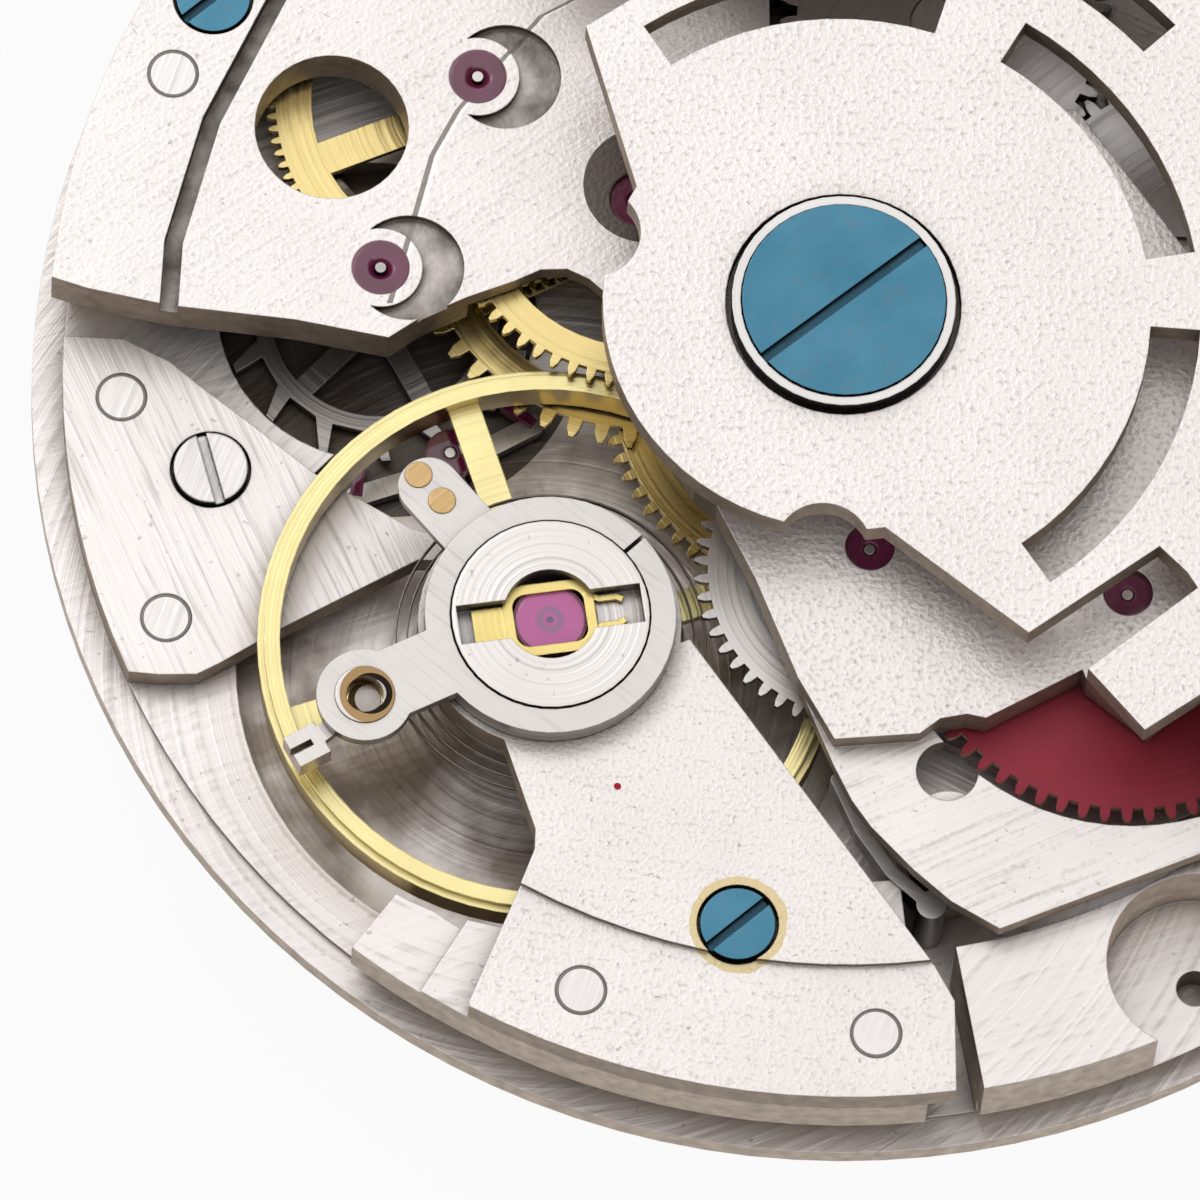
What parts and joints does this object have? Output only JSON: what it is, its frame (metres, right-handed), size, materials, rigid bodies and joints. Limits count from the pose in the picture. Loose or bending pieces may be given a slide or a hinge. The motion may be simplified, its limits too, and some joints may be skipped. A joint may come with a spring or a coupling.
{
  "type": "mechanical watch movement",
  "caption": "Self-winding mechanical watch movement with a pierced central rotor over skeletonised wheels, a free-swinging balance and sweep seconds, wound and set by a side stem.",
  "frame": {"origin": "rotor axis at the level of the dial seat, which is also the centre of the hour pipe's bearing", "axes": "+Z away from the dial, towards the rotor; +Y along the winding stem, out through the plate's edge; +X completes the right hand"},
  "size_m": [0.026, 0.0275, 0.0078],
  "materials": {
    "nickel_plate": "nickel plated, blasted and brushed",
    "steel": "polished",
    "blued_steel": "blued and polished",
    "brass": "gilt",
    "glucydur": "gilt and turned",
    "crimson": "anodised",
    "ruby": "polished",
    "spring_steel": "polished",
    "heavy_metal": "plated and brushed",
    "white_lacquer": "satin"
  },
  "bodies": {
    "frame": {"main_plate": "nickel_plate", "train_bridge": "nickel_plate", "pallet_bridge": "nickel_plate", "balance_cock": "nickel_plate", "barrel_bridge": "nickel_plate", "automatic_bridge": "nickel_plate", "automatic_plate": "nickel_plate", "small_bridge": "nickel_plate", "shock_settings": "brass", "upper_shock_jewels": "ruby", "lyre_spring": "brass", "gap_spring": "spring_steel", "bridge_screws": "blued_steel", "steel_screws": "steel", "pins_and_posts": "steel", "jewels": "ruby", "click_spring": "spring_steel", "calendar_plate": "nickel_plate"},
    "rotor": {"rotor_web": "nickel_plate", "rotor_weight": "heavy_metal", "rotor_hub": "nickel_plate", "rotor_screw": "steel"},
    "reversing_wheel": {"reversing_wheel": "crimson"},
    "reverser_pinion": {"reverser_pinion": "steel"},
    "reduction_wheel": {"reduction_wheel": "steel"},
    "transfer_wheel": {"transfer_wheel": "steel"},
    "ratchet": {"ratchet_wheel": "steel", "barrel_arbor": "steel", "mainspring": "spring_steel"},
    "crown_wheel": {"crown_wheel": "steel"},
    "winding_pinion": {"winding_pinion": "steel"},
    "click": {"click": "steel"},
    "barrel": {"barrel": "brass"},
    "centre": {"centre_wheel": "brass", "cannon_pinion": "steel"},
    "third": {"third_wheel": "brass"},
    "fourth": {"fourth_wheel": "brass"},
    "escape": {"escape_wheel": "steel"},
    "seconds": {"seconds_pinion": "steel"},
    "pallets": {"pallet_fork": "steel", "pallet_stones": "ruby"},
    "balance": {"balance_wheel": "glucydur", "balance_staff": "steel", "roller": "steel", "hairspring": "spring_steel"},
    "index": {"regulator": "steel", "curb_pins": "brass"},
    "stud_arm": {"stud_carrier": "steel", "hairspring_stud": "steel"},
    "stem": {"winding_stem": "steel"},
    "clutch": {"sliding_pinion": "steel"},
    "setting_lever": {"setting_lever": "steel"},
    "yoke": {"yoke": "steel"},
    "minute_wheel": {"minute_wheel": "brass"},
    "hour_wheel": {"hour_wheel": "brass"},
    "setting_wheel": {"setting_wheel": "steel"},
    "date_idler": {"date_idler": "brass"},
    "date_driver": {"date_driving_wheel": "brass"},
    "date_ring": {"date_ring": "white_lacquer"},
    "date_jumper": {"date_jumper": "spring_steel"}
  },
  "joints": [
    {"name": "rotor_spin", "type": "hinge", "parent": "frame", "child": "rotor", "pos_m": [0, 0, 0.005], "axis": [0, 0, 1], "continuous": true},
    {"name": "reversing_wheel_spin", "type": "hinge", "parent": "frame", "child": "reversing_wheel", "pos_m": [0.00459, -0.00442, 0.00333], "axis": [0, 0, 1], "continuous": true},
    {"name": "reverser_pinion_spin", "type": "hinge", "parent": "frame", "child": "reverser_pinion", "pos_m": [0.00459, -0.00442, 0.003], "axis": [0, 0, 1], "continuous": true},
    {"name": "reduction_wheel_spin", "type": "hinge", "parent": "frame", "child": "reduction_wheel", "pos_m": [0.00045, -0.00367, 0.003], "axis": [0, 0, 1], "continuous": true},
    {"name": "transfer_wheel_spin", "type": "hinge", "parent": "frame", "child": "transfer_wheel", "pos_m": [0.003, -0.00229, 0.0025], "axis": [0, 0, 1], "continuous": true},
    {"name": "ratchet_spin", "type": "hinge", "parent": "frame", "child": "ratchet", "pos_m": [0.00601, 0.00219, 0.0025], "axis": [0, 0, 1], "continuous": true},
    {"name": "crown_wheel_spin", "type": "hinge", "parent": "frame", "child": "crown_wheel", "pos_m": [0.0019, 0.006, 0.0025], "axis": [0, 0, 1], "continuous": true},
    {"name": "winding_pinion_spin", "type": "hinge", "parent": "frame", "child": "winding_pinion", "pos_m": [0, 0.00779, 0.00135], "axis": [0, 1, 0], "continuous": true},
    {"name": "click_turn", "type": "hinge", "parent": "frame", "child": "click", "pos_m": [0.01005, 0.00382, 0.0025], "axis": [0, 0, 1], "range_deg": [-6, 0], "stiffness_Nm_per_rad": 0.0002},
    {"name": "barrel_spin", "type": "hinge", "parent": "frame", "child": "barrel", "pos_m": [0.00601, 0.00219, 0.0013], "axis": [0, 0, 1], "continuous": true},
    {"name": "centre_spin", "type": "hinge", "parent": "frame", "child": "centre", "pos_m": [0, 0, 0.0017], "axis": [0, 0, 1], "continuous": true},
    {"name": "third_spin", "type": "hinge", "parent": "frame", "child": "third", "pos_m": [-0.00319, 0.00261, 0.002], "axis": [0, 0, 1], "continuous": true},
    {"name": "fourth_spin", "type": "hinge", "parent": "frame", "child": "fourth", "pos_m": [-0.00579, 0.00472, 0.0022], "axis": [0, 0, 1], "continuous": true},
    {"name": "escape_spin", "type": "hinge", "parent": "frame", "child": "escape", "pos_m": [-0.00738, 0.00138, 0.0011], "axis": [0, 0, 1], "continuous": true},
    {"name": "seconds_spin", "type": "hinge", "parent": "frame", "child": "seconds", "pos_m": [0, 0, 0.0019], "axis": [0, 0, 1], "continuous": true},
    {"name": "pallets_spin", "type": "hinge", "parent": "frame", "child": "pallets", "pos_m": [-0.00622, -0.00126, 0.0011], "axis": [0, 0, 1], "range_deg": [-5, 5]},
    {"name": "balance_spin", "type": "hinge", "parent": "frame", "child": "balance", "pos_m": [-0.00468, -0.00478, 0.0024], "axis": [0, 0, 1], "range_deg": [-115, 115], "stiffness_Nm_per_rad": 0.0000008},
    {"name": "index_turn", "type": "hinge", "parent": "frame", "child": "index", "pos_m": [-0.00468, -0.00478, 0.0036], "axis": [0, 0, 1], "range_deg": [-6, 6]},
    {"name": "stud_arm_turn", "type": "hinge", "parent": "frame", "child": "stud_arm", "pos_m": [-0.00468, -0.00478, 0.0038], "axis": [0, 0, 1], "range_deg": [-5, 5]},
    {"name": "stem_pull", "type": "slide", "parent": "frame", "child": "stem", "axis": [0, 1, 0], "range_m": [0, 0.001]},
    {"name": "clutch_shift", "type": "slide", "parent": "frame", "child": "clutch", "axis": [0, 1, 0], "range_m": [-0.0004, 0]},
    {"name": "setting_lever_turn", "type": "hinge", "parent": "frame", "child": "setting_lever", "pos_m": [0.002, 0.00643, 0.0003], "axis": [0, 0, 1], "range_deg": [-5.1, 0]},
    {"name": "yoke_turn", "type": "hinge", "parent": "frame", "child": "yoke", "pos_m": [-0.002, 0.00553, 0.0003], "axis": [0, 0, 1], "range_deg": [-15.1, 0]},
    {"name": "minute_wheel_spin", "type": "hinge", "parent": "frame", "child": "minute_wheel", "pos_m": [0, 0.0025, 0.0004], "axis": [0, 0, 1], "continuous": true},
    {"name": "hour_wheel_spin", "type": "hinge", "parent": "frame", "child": "hour_wheel", "pos_m": [0, 0, 0.0003], "axis": [0, 0, 1], "continuous": true},
    {"name": "setting_wheel_spin", "type": "hinge", "parent": "frame", "child": "setting_wheel", "pos_m": [0, 0.00522, 0.0004], "axis": [0, 0, 1], "continuous": true},
    {"name": "date_idler_spin", "type": "hinge", "parent": "frame", "child": "date_idler", "pos_m": [0.00175, -0.00303, 0.0003], "axis": [0, 0, 1], "continuous": true},
    {"name": "date_driver_spin", "type": "hinge", "parent": "frame", "child": "date_driver", "pos_m": [0.00313, -0.00541, 0.0004], "axis": [0, 0, 1], "continuous": true},
    {"name": "date_ring_spin", "type": "hinge", "parent": "frame", "child": "date_ring", "pos_m": [0, 0, 0.0003], "axis": [0, 0, 1], "continuous": true},
    {"name": "date_jumper_flex", "type": "hinge", "parent": "frame", "child": "date_jumper", "pos_m": [-0.0064, 0.00022, 0.0003], "axis": [0, 0, 1], "range_deg": [-2, 2], "stiffness_Nm_per_rad": 0.0005}
  ],
  "couplings": [
    {"joint": "reversing_wheel_spin", "follows": "rotor_spin", "ratio": -0.80645},
    {"joint": "transfer_wheel_spin", "follows": "ratchet_spin", "ratio": -1.2632},
    {"joint": "reduction_wheel_spin", "follows": "ratchet_spin", "ratio": 6},
    {"joint": "reverser_pinion_spin", "follows": "ratchet_spin", "ratio": -10.6},
    {"joint": "crown_wheel_spin", "follows": "ratchet_spin", "ratio": -1.1429},
    {"joint": "winding_pinion_spin", "follows": "ratchet_spin", "ratio": 3},
    {"joint": "centre_spin", "follows": "fourth_spin", "ratio": 0.013333},
    {"joint": "barrel_spin", "follows": "fourth_spin", "ratio": -0.0019048},
    {"joint": "third_spin", "follows": "fourth_spin", "ratio": -0.11667},
    {"joint": "escape_spin", "follows": "fourth_spin", "ratio": -9.6},
    {"joint": "seconds_spin", "follows": "fourth_spin", "ratio": 0.8},
    {"joint": "minute_wheel_spin", "follows": "fourth_spin", "ratio": -0.0044444},
    {"joint": "hour_wheel_spin", "follows": "fourth_spin", "ratio": 0.0011111},
    {"joint": "setting_wheel_spin", "follows": "fourth_spin", "ratio": 0.01},
    {"joint": "date_idler_spin", "follows": "fourth_spin", "ratio": -0.0014815},
    {"joint": "date_driver_spin", "follows": "fourth_spin", "ratio": 0.00055556},
    {"joint": "clutch_shift", "follows": "stem_pull", "ratio": -0.4},
    {"joint": "setting_lever_turn", "follows": "stem_pull", "rad_per_m": -87.266},
    {"joint": "yoke_turn", "follows": "stem_pull", "rad_per_m": -261.8}
  ]
}
